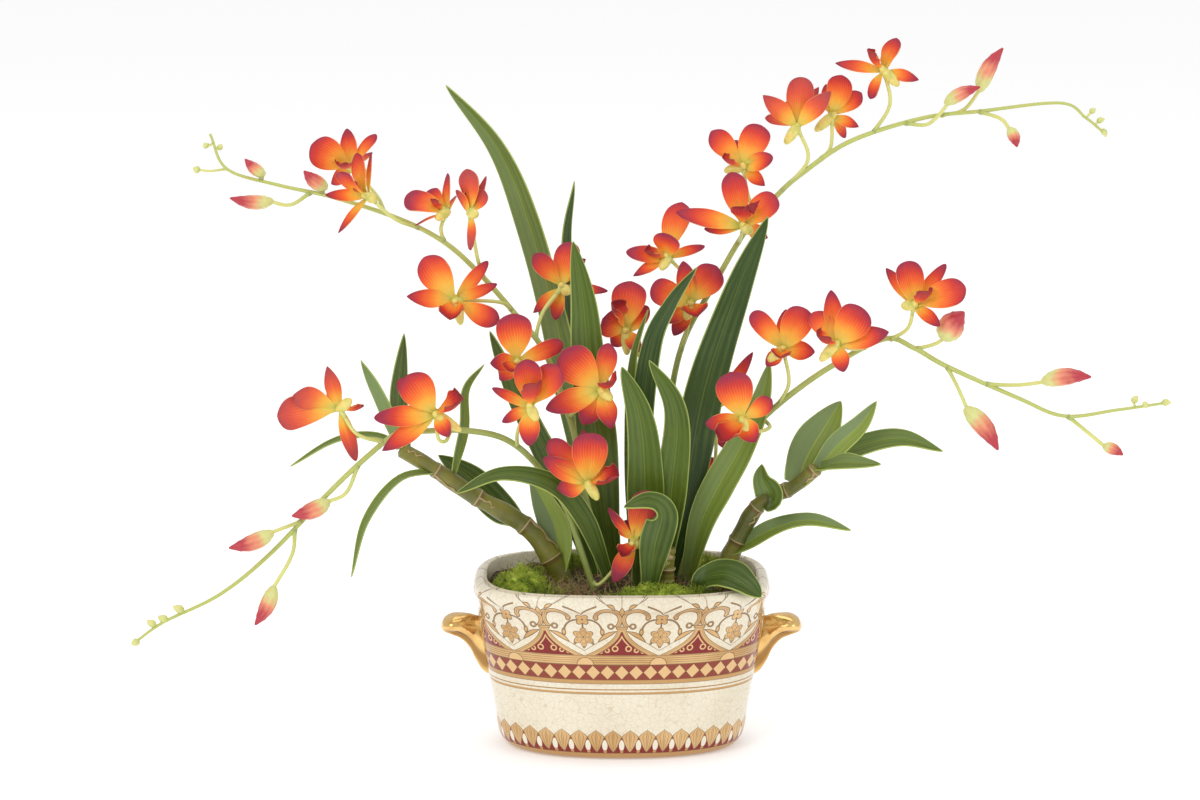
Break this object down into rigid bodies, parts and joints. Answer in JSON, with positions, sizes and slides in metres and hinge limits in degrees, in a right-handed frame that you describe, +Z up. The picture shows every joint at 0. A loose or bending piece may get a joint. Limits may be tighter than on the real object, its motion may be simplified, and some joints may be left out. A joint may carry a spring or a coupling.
{
  "type": "potted orchid",
  "caption": "Dendrobium orchid with arching flower sprays, leafy canes and strap leaves, growing from moss in an oval footed ceramic pot with two lug handles.",
  "frame": {"origin": "middle of the pot's flat underside", "axes": "+Z up, +X towards the right handle, -Y is the front"},
  "size_m": [0.7243, 0.207, 0.51],
  "materials": {
    "glaze": "cream crackle glaze with a painted gold and red pattern",
    "gilt": "polished gold lustre over ceramic",
    "soil": "loose dark potting mix",
    "moss": "soft curly green moss",
    "bark": "rough bark and fibre",
    "leaf": "smooth waxy green leaf with a pale margin",
    "cane": "satin olive cane with brown joints",
    "stem": "satin light green stem",
    "petal": "matte petal, yellow at the base and orange to wine red at the tip"
  },
  "bodies": {
    "root": {"bark_left": "bark", "bark_right": "bark", "bloom_1": "petal", "bloom_10": "petal", "bloom_11": "petal", "bloom_12": "petal", "bloom_13": "petal", "bloom_14": "petal", "bloom_15": "petal", "bloom_16": "petal", "bloom_17": "petal", "bloom_18": "petal", "bloom_19": "petal", "bloom_2": "petal", "bloom_20": "petal", "bloom_21": "petal", "bloom_22": "petal", "bloom_23": "petal", "bloom_24": "petal", "bloom_25": "petal", "bloom_26": "petal", "bloom_27": "petal", "bloom_3": "petal", "bloom_4": "petal", "bloom_5": "petal", "bloom_6": "petal", "bloom_7": "petal", "bloom_8": "petal", "bloom_9": "petal", "cane_left": "cane", "cane_right": "cane", "cane_stub": "cane", "handle_left": "gilt", "handle_right": "gilt", "leaf_1": "leaf", "leaf_10": "leaf", "leaf_11": "leaf", "leaf_12": "leaf", "leaf_2": "leaf", "leaf_3": "leaf", "leaf_4": "leaf", "leaf_5": "leaf", "leaf_6": "leaf", "leaf_7": "leaf", "leaf_8": "leaf", "leaf_9": "leaf", "leaf_rim": "leaf", "moss_back_left": "moss", "moss_back_right": "moss", "moss_front": "moss", "moss_left": "moss", "pot": "glaze", "soil": "soil", "spray_lower_left": "stem", "spray_right": "stem", "spray_upper_left": "stem", "spray_upper_right": "stem"}
  },
  "joints": []
}
